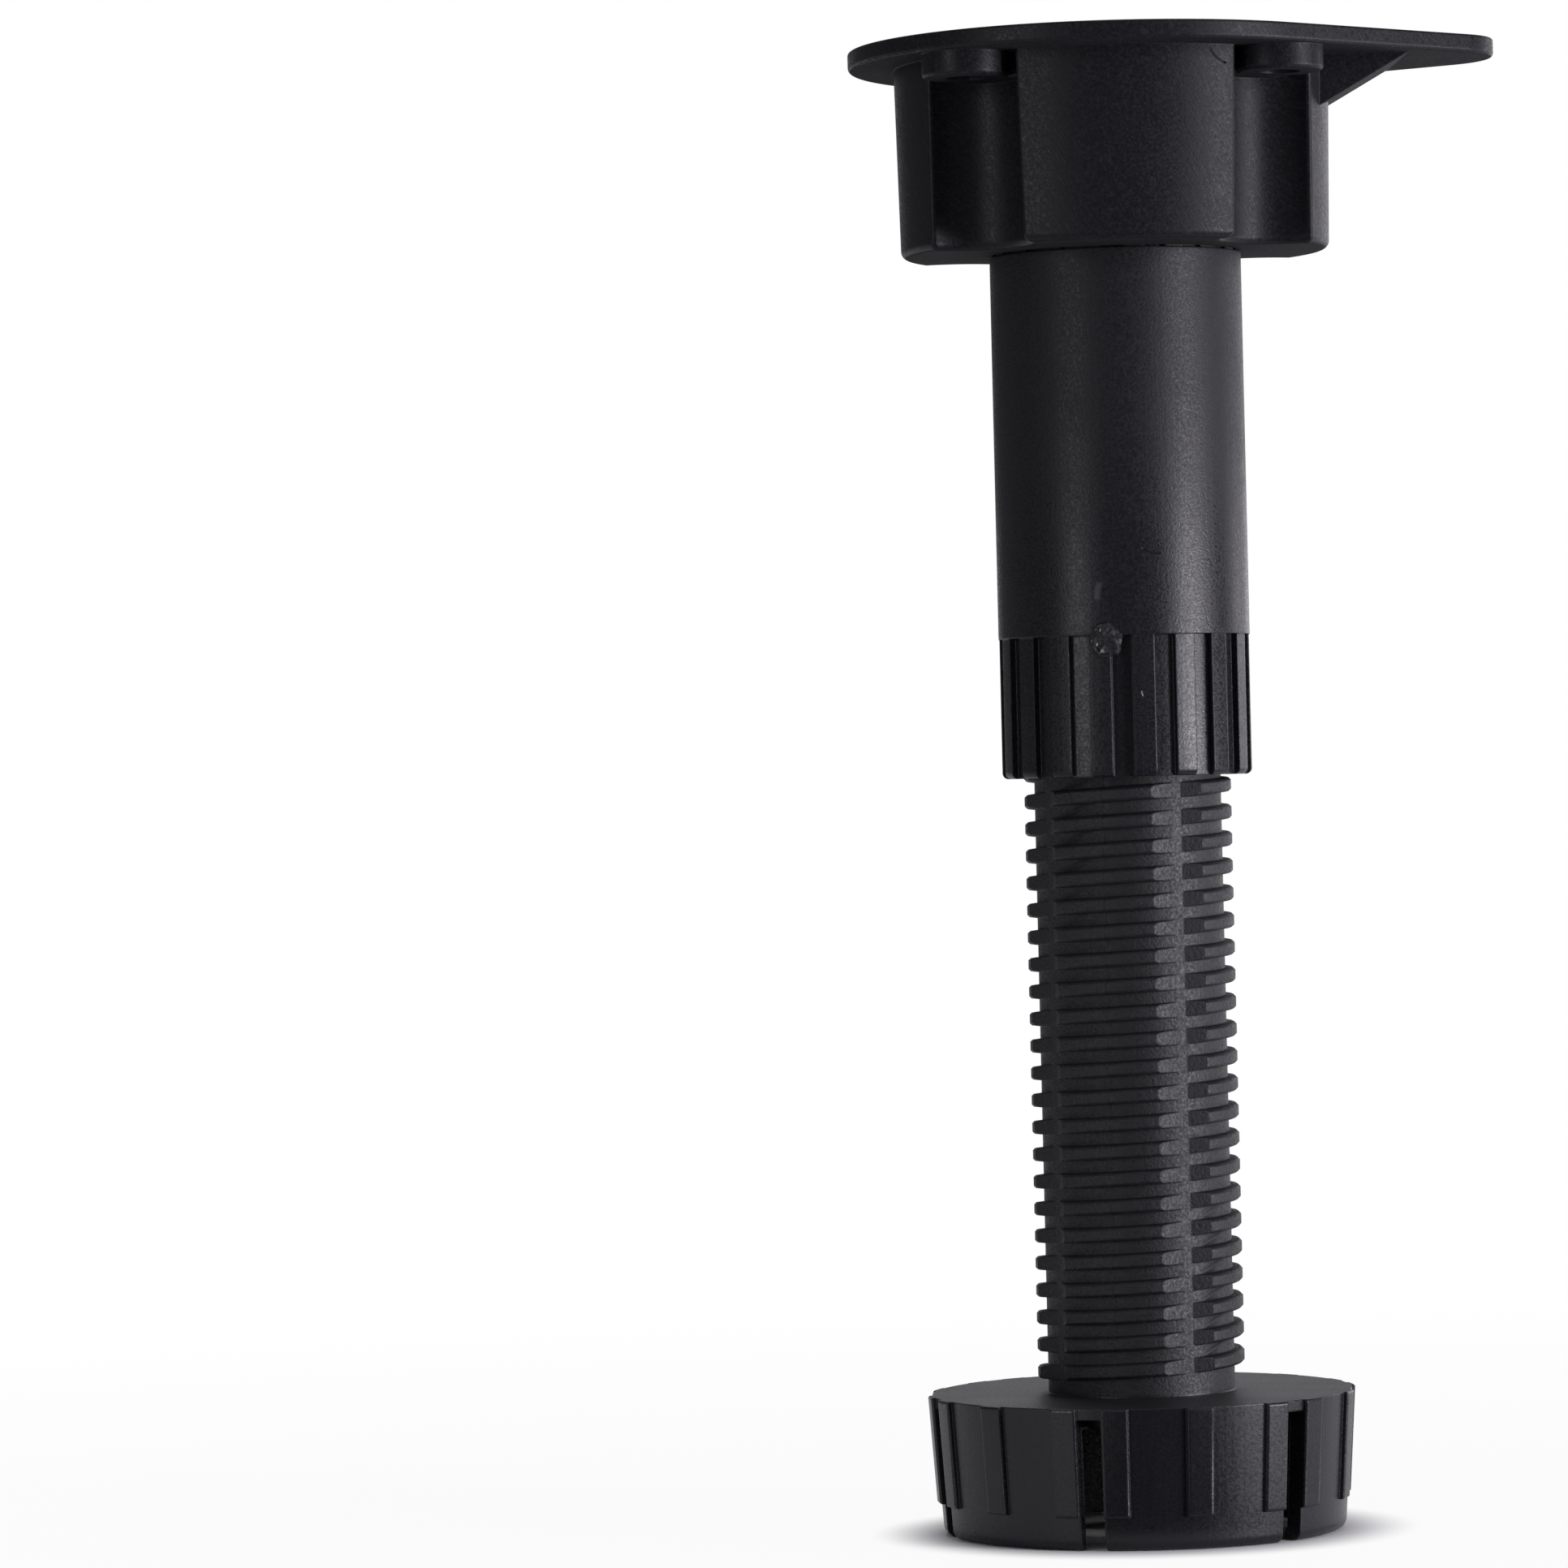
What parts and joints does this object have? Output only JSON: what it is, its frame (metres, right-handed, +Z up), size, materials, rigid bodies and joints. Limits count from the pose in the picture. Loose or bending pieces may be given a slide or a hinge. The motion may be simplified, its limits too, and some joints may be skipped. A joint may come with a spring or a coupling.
{
  "type": "adjustable cabinet leg",
  "caption": "Screw-adjustable plastic cabinet leg: lugged flange plate and socket, smooth tube with ribbed grip, and a threaded spindle on a slotted round foot",
  "frame": {"origin": "on the leg's axis, in the cabinet face on top of the flange plate", "axes": "+Z up along the leg's axis into the cabinet, +X along the plate's pointed lug, the leg screwed right out at rest"},
  "size_m": [0.0741, 0.0602, 0.17],
  "materials": {
    "socket_plastic": "black moulded polypropylene, satin with fine rub marks",
    "tube_plastic": "black moulded polypropylene, satin and finely grained",
    "foot_plastic": "black moulded polypropylene, matt on the spindle and satin on the foot"
  },
  "bodies": {
    "socket": {"mounting_socket": "socket_plastic"},
    "tube": {"leg_tube": "tube_plastic"},
    "foot": {"foot_spindle": "foot_plastic"}
  },
  "joints": [
    {"name": "tube_turn", "type": "hinge", "parent": "socket", "child": "tube", "pos_m": [0, 0, 0], "axis": [0, 0, -1], "range_deg": [0, 8100]},
    {"name": "foot_travel", "type": "slide", "parent": "socket", "child": "foot", "axis": [0, 0, 1], "range_m": [0, 0.07]}
  ],
  "couplings": [
    {"joint": "foot_travel", "follows": "tube_turn", "m_per_rad": 0.00049514}
  ]
}
